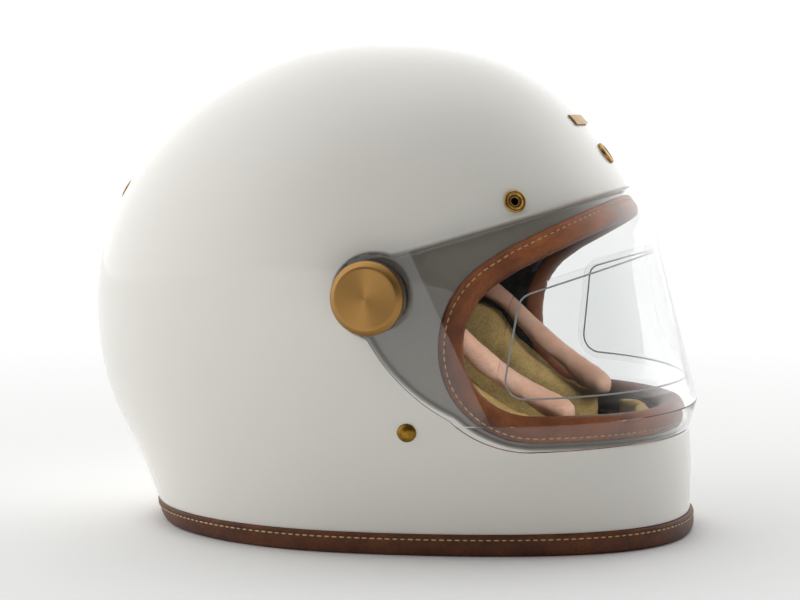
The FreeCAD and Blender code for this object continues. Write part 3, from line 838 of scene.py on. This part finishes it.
neckShape = {
    "height": 12.0, "turns": 320, "stitchZ": 9.4,
    # how far in from the shell's outer form, and height over the ground
    "profile": [(4.4, 12.0), (0.4, 12.0), (-0.9, 11.9), (-1.7, 11.3), (-2.0, 10.3), (-1.9, 9.7), (-1.75, 9.4),
                (-1.95, 9.1), (-2.15, 8.3), (-2.3, 6.0), (-2.3, 3.6), (-1.9, 1.7), (-0.9, 0.4), (0.6, 0.0),
                (3.8, 0.0), (5.8, 0.5), (6.8, 1.8), (7.0, 4.0), (7.0, 9.0), (6.4, 11.4)],
}


def makeNeckTrim():
    count = neckShape["turns"]
    turns = np.linspace(-math.pi, math.pi, count, endpoint=False)
    profile = neckShape["profile"]
    rings = [domePoint(np.stack([turns, np.full(count, rowAt(z))], axis=1), inset) for inset, z in profile]
    for ring, (inset, z) in zip(rings, profile):
        ring[:, 2] = z
    points = np.stack(rings, axis=1).reshape(-1, 3)
    size = len(profile)
    faces = []
    for k in range(count):
        after = (k + 1) % count * size
        for j in range(size):
            faces.append((k * size + j, k * size + (j + 1) % size, after + (j + 1) % size, after + j))
    made = makeObject("neckBinding", points, faces)
    smooth = made.modifiers.new("Smooth", "SUBSURF")
    smooth.levels = smooth.render_levels = 1
    line = domePoint(np.stack([turns, np.full(count, rowAt(neckShape["stitchZ"]))], axis=1), -1.95)
    return made, line


stitchSettings = {"pitch": 4.1, "length": 3.0, "thread": 0.8, "seed": 5}   # mm


def stitchTree(material):
    tree = bpy.data.node_groups.new("stitchRun", "GeometryNodeTree")
    sockets = {}
    tree.interface.new_socket("Geometry", in_out="INPUT", socket_type="NodeSocketGeometry")
    for name in ("Pitch", "Length", "Thread"):
        sockets[name] = tree.interface.new_socket(name, in_out="INPUT", socket_type="NodeSocketFloat")
    sockets["Seed"] = tree.interface.new_socket("Seed", in_out="INPUT", socket_type="NodeSocketInt")
    tree.interface.new_socket("Geometry", in_out="OUTPUT", socket_type="NodeSocketGeometry")
    given = addNode(tree, "NodeGroupInput").outputs
    path = addNode(tree, "GeometryNodeMeshToCurve", None, {"Mesh": given["Geometry"]})
    spots = addNode(tree, "GeometryNodeCurveToPoints", {"mode": "LENGTH"},
                    {"Curve": path.outputs["Curve"], "Length": given["Pitch"]})
    ball = addNode(tree, "GeometryNodeMeshUVSphere", None, {"Segments": 8, "Rings": 6, "Radius": 0.5})
    size = addNode(tree, "ShaderNodeCombineXYZ", None,
                   {"X": given["Thread"], "Y": given["Thread"], "Z": given["Length"]})
    stitch = addNode(tree, "GeometryNodeTransform", None,
                     {"Geometry": ball.outputs["Mesh"], "Scale": size.outputs["Vector"]})
    vary = addNode(tree, "FunctionNodeRandomValue", {"data_type": "FLOAT"}, {"Seed": given["Seed"]})
    vary.inputs[2].default_value = 0.9
    vary.inputs[3].default_value = 1.08
    laid = addNode(tree, "GeometryNodeInstanceOnPoints", None,
                   {"Points": spots.outputs["Points"], "Instance": stitch.outputs["Geometry"],
                    "Rotation": spots.outputs["Rotation"], "Scale": vary.outputs[1]})
    smooth = addNode(tree, "GeometryNodeSetShadeSmooth", None, {"Geometry": laid.outputs["Instances"]})
    real = addNode(tree, "GeometryNodeRealizeInstances", None, {"Geometry": smooth.outputs["Geometry"]})
    dyed = addNode(tree, "GeometryNodeSetMaterial", None,
                   {"Geometry": real.outputs["Geometry"], "Material": material})
    addNode(tree, "NodeGroupOutput", None, {"Geometry": dyed.outputs["Geometry"]})
    return tree, sockets


stitchGroup, stitchSockets = stitchTree(thread)


def sewLine(name, line, body):
    count = len(line)
    mesh = bpy.data.meshes.new(name + "Path")
    mesh.from_pydata([tuple(p) for p in line * mm], [(k, (k + 1) % count) for k in range(count)], [])
    made = linkObject(name, mesh)
    run = made.modifiers.new("Stitches", "NODES")
    run.node_group = stitchGroup
    for socket, key in (("Pitch", "pitch"), ("Length", "length"), ("Thread", "thread")):
        run[stitchSockets[socket].identifier] = stitchSettings[key] * mm
    run[stitchSockets["Seed"].identifier] = stitchSettings["seed"]
    bakeModifiers(made)
    return finishPiece(made, None, body)


piping, pipingLine = makeEyeportTrim()
cleanMesh(piping.data, outward=True)
finishPiece(piping, trimLeather, "helmet", ["eyeport_trim"])
sewLine("eyeportStitches", pipingLine, "helmet")
binding, bindingLine = makeNeckTrim()
cleanMesh(binding.data, outward=True)
finishPiece(binding, trimLeather, "helmet", ["neck_trim"])
sewLine("neckStitches", bindingLine, "helmet")
print("leather trims and stitches made")


def visorPoint(params, grow=0.0):
    # run goes round the visor's U from the right side to the left, in millimetres along its inside
    shape = visorShape
    run, z = params[:, 0], params[:, 1]
    crease = shape["crease"]
    front = form["halfLength"] - shape["wall"] - shape["lean"] * np.maximum(z - crease, 0)
    tuck = shape["lipLean"] * np.maximum(crease - z, 0)
    middle = front - shape["bow"]
    half = shape["half"] + grow - tuck
    reach = shape["bow"] + grow - tuck
    angle = np.clip(run / shape["quarter"], -1, 1) * math.pi / 2
    straight = np.maximum(np.abs(run) - shape["quarter"], 0)
    x = middle + reach * np.cos(angle) - straight
    return np.stack([x, half * np.sin(angle), z], axis=1)


def makeVisor():
    settings = {"step": 3.0, "top": 206.0, "scallop": 0.45}
    shape = visorShape
    lengths = np.arange(0, 330, settings["step"])
    runs = np.concatenate([-lengths[:0:-1], lengths])
    lows = np.linspace(shape["low"], shape["crease"], 6)
    highs = np.arange(shape["crease"] + settings["step"], settings["top"], settings["step"])
    rows = np.concatenate([lows, highs])

    def edgeField(params):
        at = visorPoint(params, shape["wall"])
        return visorDistance(at[:, 0], at[:, 2], 0.0, settings["scallop"])

    def boreField(params):
        at = visorPoint(params, shape["wall"])
        return np.hypot(at[:, 0] - pivotX, at[:, 2] - pivotZ)

    sheet = makeSheet(visorPoint, runs, rows, {"edge": edgeField, "bore": boreField})
    splitSheet(sheet, "edge", 0.0)
    keepSide(sheet, "edge", 0.0, -1)
    splitSheet(sheet, "bore", 4.5)
    keepSide(sheet, "bore", 4.5, 1)
    points, faces, used = tidySheet(sheet, visorPoint(sheet["params"], shape["wall"]))
    made = makeObject("clearVisor", points, faces)
    return thicken(made, shape["wall"], 11)


insertShape = {"step": 3.0, "wall": 0.8, "back": 84.0, "low": 82.0, "backTop": (92.0, 141.0),
               "rise": 35.0 / 108.0, "lowRadius": 14.0, "topRadius": 12.0, "seal": 3.7, "sealWidth": 0.9}


def makeInsert():
    # thin anti-fog lens stuck inside the visor, with a line of sealing bead near its edge
    shape = insertShape
    lengths = np.arange(0, 270, shape["step"])
    runs = np.concatenate([-lengths[:0:-1], lengths])
    rows = np.arange(80.0, 186.0, shape["step"])
    kneeX, kneeZ = shape["backTop"]
    outline = roundedOutline([(shape["back"], shape["low"]), (beyond, shape["low"]),
                              (beyond, kneeZ + (beyond - kneeX) * shape["rise"]), (kneeX, kneeZ)],
                             [shape["lowRadius"], 0, 0, shape["topRadius"]])

    def edgeField(params):
        at = visorPoint(params, -0.2)
        return outlineDistance(at[:, 0], at[:, 2], outline)

    def lens(name, depth, wall, outer, inner=None):
        sheet = makeSheet(visorPoint, runs, rows, {"edge": edgeField})
        splitSheet(sheet, "edge", -outer)
        keepSide(sheet, "edge", -outer, -1)
        if inner:
            splitSheet(sheet, "edge", -inner)
            keepSide(sheet, "edge", -inner, 1)
        points, faces, used = tidySheet(sheet, visorPoint(sheet["params"], depth))
        return thicken(makeObject(name, points, faces), wall, 30)

    pane = lens("fogInsert", -0.2, shape["wall"], 0.0)
    bead = lens("insertSeal", -shape["wall"] - 0.22, 0.25, shape["seal"], shape["seal"] + shape["sealWidth"])
    return pane, bead


visor = makeVisor()
finishPiece(visor, clearVisor, "visor", ["visor"])
insert, seal = makeInsert()
finishPiece(insert, clearInsert, "visor", ["visor_insert"])
finishPiece(seal, sealGel, "visor")
for part in (visor, insert, seal):
    part.visible_shadow = False      # clear pieces let the light in
print("visor made", len(visor.data.polygons), "faces")


def turnPiece(name, seat, way, profile, pieces=64, smoothAngle=28):
    # profile is a list of (radius, height along the axis) in millimetres, from the axis outwards and back
    way = np.array(way) / np.linalg.norm(way)
    side = np.cross(way, [0.0, 0.0, 1.0] if abs(way[2]) < 0.9 else [1.0, 0.0, 0.0])
    side /= np.linalg.norm(side)
    other = np.cross(way, side)
    points, faces, charts = [], [], []
    for k in range(pieces):
        angle = 2 * math.pi * k / pieces
        spoke = side * math.cos(angle) + other * math.sin(angle)
        points += [seat + spoke * radius + way * height for radius, height in profile]
    size = len(profile)
    closed = profile[0][0] > 0
    for k in range(pieces):
        after = (k + 1) % pieces * size
        for j in range(size if closed else size - 1):
            n = (j + 1) % size
            faces.append((k * size + j, after + j, after + n, k * size + n))
            charts.append([(k / pieces, j / size), ((k + 1) / pieces, j / size),
                           ((k + 1) / pieces, (j + 1) / size), (k / pieces, (j + 1) / size)])
    mesh = bpy.data.meshes.new(name)
    mesh.from_pydata([tuple(p) for p in np.array(points) * mm], [], faces)
    chart = mesh.uv_layers.new(name="turned")
    for face, corners in zip(mesh.polygons, charts):
        for loop, corner in zip(face.loop_indices, corners):
            chart.data[loop].uv = corner
    cleanMesh(mesh, 1e-6, outward=True)
    mesh.shade_smooth()
    mesh.set_sharp_from_angle(angle=math.radians(smoothAngle))
    return linkObject(name, mesh)


def makeKnob(hand):
    # thumb screw: a wide bevelled head turned from brass bar, on its threaded stud
    low, high = nodeBox("knob_" + hand)
    outward = -1.0 if hand == "right" else 1.0
    radius = (high[0] - low[0]) / 2
    face = low[1] if hand == "right" else high[1]
    knob = {"height": 11.2, "bevel": 2.6, "stud": 4.0, "studLength": 19.0, "easing": 0.3}
    seat = np.array([pivotX, face, pivotZ])
    ease, bevel, height = knob["easing"], knob["bevel"], knob["height"]
    top = radius - bevel
    rings = [(top * share, 0.0) for share in np.linspace(0, 1, 12)[:-1]]
    profile = rings + [
        (top - ease, 0.0), (top - 0.08, -0.06), (top + ease * 0.7, -ease * 0.7 - 0.06),
        (radius - ease * 0.7, -bevel + ease * 0.5), (radius - 0.06, -bevel - 0.05), (radius, -bevel - ease),
        (radius, -height + 0.9), (radius - 0.2, -height + 0.3), (radius - 0.7, -height),
        (knob["stud"], -height), (knob["stud"], -height - knob["studLength"]),
        (knob["stud"] - 0.8, -height - knob["studLength"] - 0.8), (0.0, -height - knob["studLength"] - 0.8)]
    made = turnPiece("thumbScrew_" + hand, seat, [0, outward, 0], profile, 128, 22)
    material = makeTurnedBrass("turnedBrass_" + hand, (pivotX, 0.0, pivotZ), 0.35)
    return finishPiece(made, material, "knob_" + hand, ["knob_" + hand])


for hand in ("left", "right"):
    makeKnob(hand)

eyeletShape = [(2.0, -9.0), (3.1, -9.0), (3.1, 0.1), (5.6, 0.1), (5.9, 0.4), (6.0, 0.8), (5.8, 1.25),
               (5.3, 1.55), (4.7, 1.6), (4.3, 1.45), (4.05, 1.1), (3.7, 0.75), (3.2, 0.7), (2.7, 0.85),
               (2.3, 0.8), (2.05, 0.5), (2.0, 0.0)]
rivetShape = [(0.0, 2.7), (0.9, 2.66), (1.9, 2.5), (2.9, 2.18), (3.8, 1.7), (4.5, 1.15), (4.9, 0.65),
              (5.0, 0.3), (4.85, 0.1), (2.6, 0.1), (2.6, -7.8), (0.0, -7.8)]
badgeShape = [(0.0, 1.12), (2.6, 1.12), (4.3, 1.12), (4.7, 1.2), (4.95, 1.42), (5.2, 1.52), (5.7, 1.52),
              (6.1, 1.4), (6.4, 1.1), (6.5, 0.8), (6.5, 0.1), (0.0, 0.1)]

for end in ("front", "rear"):
    for hand in ("left", "right"):
        node = f"{end}_vent_{hand}"
        seat, way = seatOf(node)
        eyelet = turnPiece("ventEyelet_" + end + hand.capitalize(), seat, way, eyeletShape, 56, 50)
        finishPiece(eyelet, eyeletBrass, "helmet", [node])
for hand in ("left", "right"):
    seat, way = seatOf("strap_rivet_" + hand)
    rivet = turnPiece("strapRivet_" + hand, seat, way, rivetShape, 48, 50)
    finishPiece(rivet, rivetBrass, "helmet", ["strap_rivet_" + hand])
seat, way = seatOf("brow_badge")
badge = turnPiece("browBadge", seat, way, badgeShape, 64, 50)
finishPiece(badge, eyeletBrass, "helmet", ["brow_badge"])
print("turned pieces made")


padSettings = {
    # remesh size, how far the start shape is drawn in, pressure, most a point may move (mm)
    "crown_pad": ("crownLining", 5.0, 1.4, 4.0, 2.6), "rear_pad": ("rearLining", 5.0, 1.4, 4.0, 2.6),
    "brow_pad": ("browLining", 4.5, 1.2, 4.0, 2.2), "neck_roll": ("neckRoll", 5.0, 1.6, 4.0, 3.0),
    "cheek_pad_left": ("cheekPad_left", 5.0, 2.0, 4.5, 4.0),
    "cheek_pad_right": ("cheekPad_right", 5.0, 2.0, 4.5, 4.0),
    "cheek_bolster_left": ("cheekRoll_left", 4.0, 1.0, 4.0, 2.0),
    "cheek_bolster_right": ("cheekRoll_right", 4.0, 1.0, 4.0, 2.0),
    "chin_pad": ("chinPad", 4.0, 1.2, 4.5, 2.6),
}


def meshCoordinates(mesh):
    co = np.zeros(len(mesh.vertices) * 3)
    mesh.vertices.foreach_get("co", co)
    return co.reshape(-1, 3)


def copyNode(node, name):
    made = linkObject(name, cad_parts[node].data.copy())
    made.data.materials.clear()
    cleanMesh(made.data, 1e-6)
    return made


def makePad(node, material):
    name, voxel, drawIn, pressure, most = padSettings[node]
    made = copyNode(node, name)
    remesh = made.modifiers.new("Remesh", "REMESH")
    remesh.mode = "VOXEL"
    remesh.voxel_size = voxel * mm
    relax = made.modifiers.new("Relax", "SMOOTH")
    relax.factor = 0.5
    relax.iterations = 4
    bakeModifiers(made)
    normals = np.array([v.normal[:] for v in made.data.vertices])
    start = meshCoordinates(made.data) - normals * drawIn * mm
    made.data.vertices.foreach_set("co", start.ravel())
    made.data.update()
    cloth = made.modifiers.new("Cloth", "CLOTH")
    cloth.settings.quality = 4
    cloth.settings.mass = 0.3
    cloth.settings.tension_stiffness = cloth.settings.compression_stiffness = 12
    cloth.settings.bending_stiffness = 0.6
    cloth.settings.use_pressure = True
    cloth.settings.uniform_pressure_force = pressure
    cloth.settings.effector_weights.gravity = 0.0
    cloth.point_cache.frame_start, cloth.point_cache.frame_end = 1, 20
    for step in range(1, 21):
        scene.frame_set(step)
    moved = made.evaluated_get(bpy.context.evaluated_depsgraph_get())
    swollen = meshCoordinates(moved.data)
    shift = swollen - start
    size = np.linalg.norm(shift, axis=1)
    shift *= np.minimum(1.0, most * mm / np.maximum(size, 1e-9))[:, None]
    made.modifiers.clear()
    scene.frame_set(1)
    made.data.vertices.foreach_set("co", (start + shift).ravel())
    made.data.update()
    made.data.shade_smooth()
    smooth = made.modifiers.new("Smooth", "SUBSURF")
    smooth.levels = smooth.render_levels = 1
    finishPiece(made, material, "helmet", [node])
    return made


linings = [piping]
for node, material, slot in (
        ("crown_pad", rollSuede, "suede"), ("rear_pad", rollSuede, "suede"), ("brow_pad", rollSuede, "suede"),
        ("neck_roll", trimLeather, "trim_leather"), ("cheek_pad_left", suede, "suede"),
        ("cheek_pad_right", suede, "suede"), ("cheek_bolster_left", liningLeather, "lining_leather"),
        ("cheek_bolster_right", liningLeather, "lining_leather"), ("chin_pad", suede, "suede")):
    linings.append(makePad(node, material))
print("padded lining made")


strapShape = {"width": 24.0, "wall": 1.8, "elbow": 9.0, "step": 4.0}


def makeStrap(node, name):
    low, high = nodeBox(node)
    hand = -1.0 if abs(low[1]) > abs(high[1]) else 1.0
    outer = max(abs(low[1]), abs(high[1]))
    inner = min(abs(low[1]), abs(high[1]))
    wall, elbow = strapShape["wall"], strapShape["elbow"]
    radius = elbow - wall / 2
    centre = (outer - elbow, low[2] + elbow)
    path = [(outer - wall / 2, z) for z in np.arange(high[2], centre[1], -strapShape["step"])]
    path += [(centre[0] + radius * math.cos(a), centre[1] - radius * math.sin(a))
             for a in np.linspace(0, math.pi / 2, 9)]
    path += [(y, low[2] + wall / 2) for y in np.linspace(centre[0], inner, 16)[1:]]
    path = np.array(path)
    tangent = np.gradient(path, axis=0)
    tangent /= np.linalg.norm(tangent, axis=1)[:, None]
    normal = np.stack([tangent[:, 1], -tangent[:, 0]], axis=1)
    half, thick = strapShape["width"] / 2, wall / 2
    profile = [(-half, 0.0), (-half + 0.3, -0.7), (-half + 1.2, -0.9), (0.0, -thick), (half - 1.2, -0.9),
               (half - 0.3, -0.7), (half, 0.0), (half - 0.3, 0.7), (half - 1.2, 0.9), (0.0, thick),
               (-half + 1.2, 0.9), (-half + 0.3, 0.7)]
    middleX = (low[0] + high[0]) / 2
    size = len(profile)
    points, charts, faces = [], [], []
    run = np.concatenate([[0], np.cumsum(np.linalg.norm(np.diff(path, axis=0), axis=1))])
    for (y, z), (ny, nz) in zip(path, normal):
        points += [(middleX + a, hand * (y + ny * h), z + nz * h) for a, h in profile]
    for k in range(len(path) - 1):
        for j in range(size):
            n = (j + 1) % size
            faces.append((k * size + j, k * size + n, (k + 1) * size + n, (k + 1) * size + j))
            charts.append([(profile[j][0], run[k]), (profile[n][0], run[k]),
                           (profile[n][0], run[k + 1]), (profile[j][0], run[k + 1])])
    last = (len(path) - 1) * size
    faces += [tuple(range(size)), tuple(range(last + size - 1, last - 1, -1))]
    charts += [[(a, 0.0) for a, h in profile], [(a, run[-1]) for a, h in profile]]
    mesh = bpy.data.meshes.new(name)
    mesh.from_pydata([tuple(np.array(p) * mm) for p in points], [], faces)
    chart = mesh.uv_layers.new(name="weave")
    for face, corners in zip(mesh.polygons, charts):
        for loop, corner in zip(face.loop_indices, corners):
            chart.data[loop].uv = (corner[0] * mm, corner[1] * mm)
    made = linkObject(name, mesh)
    cleanMesh(mesh, outward=True)
    mesh.shade_smooth()
    mesh.set_sharp_from_angle(angle=math.radians(50))
    return finishPiece(made, webbing, node, [node])


makeStrap("ring_strap", "ringStrap")
makeStrap("tail_strap", "tailStrap")
print("straps made")


# CAD pieces whose shape is right as it stands, with their finish
finishes = {
    beadFoam: ["foam_liner", "chin_foam"],
    machinedBrass: ["pivot_insert_left", "pivot_insert_right", "brow_plate"],
    blackNylon: ["pivot_washer_left", "pivot_washer_right", "ratchet_ring_left", "ratchet_ring_right"],
    tubeRubber: ["front_vent_tube_left", "front_vent_tube_right", "rear_vent_tube_left",
                 "rear_vent_tube_right"],
    steel: ["d_ring_outer", "d_ring_inner", "strap_hanger_left", "strap_hanger_right", "strap_snap"],
}
for material, nodes in finishes.items():
    for node in nodes:
        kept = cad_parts[node]
        kept.data.materials.clear()
        kept.data.materials.append(material)


stage = {"floor": 6.0, "azimuth": 15.0, "elevation": 5.2, "distance": 1.244, "lens": 99.0, "sensor": 36.0,
         "target": (0.0042, 0.0, 0.1249), "darkSide": 38.0, "brightest": 1.3, "darkest": 0.06,
         "darkFrom": -0.2, "darkTo": 0.8,
         "fillPower": 9.0, "fillSize": 0.5, "fillPlace": (0.75, -0.45, 0.6), "fillAim": (0.08, 0.03, 0.11)}


def makeFloor():
    mesh = bpy.data.meshes.new("floor")
    reach = stage["floor"]
    mesh.from_pydata([(-reach, -reach, 0), (reach, -reach, 0), (reach, reach, 0), (-reach, reach, 0)], [],
                     [(0, 1, 2, 3)])
    floor = linkObject("floor", mesh)
    material, tree, shader, place = startMaterial("paleFloor", {
        "Base Color": linearColour("#fbfbfa"), "Roughness": 0.8, "Specular IOR Level": 0.1})
    apart = addNode(tree, "ShaderNodeVectorMath", {"operation": "LENGTH"}, {0: place})
    fade = addNode(tree, "ShaderNodeMapRange", None,
                   {"Value": apart.outputs["Value"], "From Min": 0.3, "From Max": 0.9})
    glow = addNode(tree, "ShaderNodeEmission", None, {"Color": (1, 1, 1, 1), "Strength": 1.0})
    mixed = addNode(tree, "ShaderNodeMixShader", None,
                    {0: fade.outputs["Result"], 1: shader.outputs[0], 2: glow.outputs[0]})
    tree.links.new(mixed.outputs[0], tree.nodes["Material Output"].inputs["Surface"])
    mesh.materials.append(material)


def makeLight():
    # a white room that falls off to a dark side behind the camera, so the near sides don't wash out
    azimuth = math.radians(stage["darkSide"])
    world = bpy.data.worlds.new("studio")
    world.use_nodes = True
    tree = world.node_tree
    toward = addNode(tree, "ShaderNodeTexCoord").outputs["Generated"]
    facing = addNode(tree, "ShaderNodeVectorMath", {"operation": "DOT_PRODUCT"},
                     {0: toward, 1: (math.sin(azimuth), -math.cos(azimuth), 0.0)})
    falloff = addNode(tree, "ShaderNodeMapRange", {"interpolation_type": "SMOOTHSTEP"},
                      {"Value": facing.outputs["Value"], "From Min": stage["darkFrom"],
                       "From Max": stage["darkTo"], "To Min": stage["brightest"], "To Max": stage["darkest"]})
    seen = addNode(tree, "ShaderNodeLightPath").outputs["Is Camera Ray"]
    strength = addNode(tree, "ShaderNodeMath", {"operation": "MAXIMUM"},
                       {0: seen, 1: falloff.outputs["Result"]})
    backdrop = tree.nodes["Background"]
    backdrop.inputs["Color"].default_value = (1, 1, 1, 1)
    tree.links.new(strength.outputs[0], backdrop.inputs["Strength"])
    scene.world = world

    lamp = bpy.data.lights.new("fill", "AREA")
    lamp.energy, lamp.size = stage["fillPower"], stage["fillSize"]
    fill = linkObject("fill", lamp)
    fill.location = stage["fillPlace"]
    fill.rotation_euler = (fill.location - Vector(stage["fillAim"])).to_track_quat("Z", "Y").to_euler()
    fill.visible_glossy = False
    # the fill reaches only what is inside the helmet
    lit = bpy.data.collections.new("insideTheHelmet")
    for made in linings:
        lit.objects.link(made)
    fill.light_linking.receiver_collection = lit


def makeCamera():
    azimuth, elevation = math.radians(stage["azimuth"]), math.radians(stage["elevation"])
    way = Vector((math.sin(azimuth) * math.cos(elevation), -math.cos(azimuth) * math.cos(elevation),
                  math.sin(elevation)))
    data = bpy.data.cameras.new("camera")
    data.lens, data.sensor_width = stage["lens"], stage["sensor"]
    data.clip_end = 50
    camera = linkObject("camera", data)
    camera.location = Vector(stage["target"]) + way * stage["distance"]
    camera.rotation_euler = way.to_track_quat("Z", "Y").to_euler()
    scene.camera = camera


makeFloor()
makeLight()
makeCamera()
scene.view_settings.view_transform = "Standard"
scene.view_settings.look = "None"
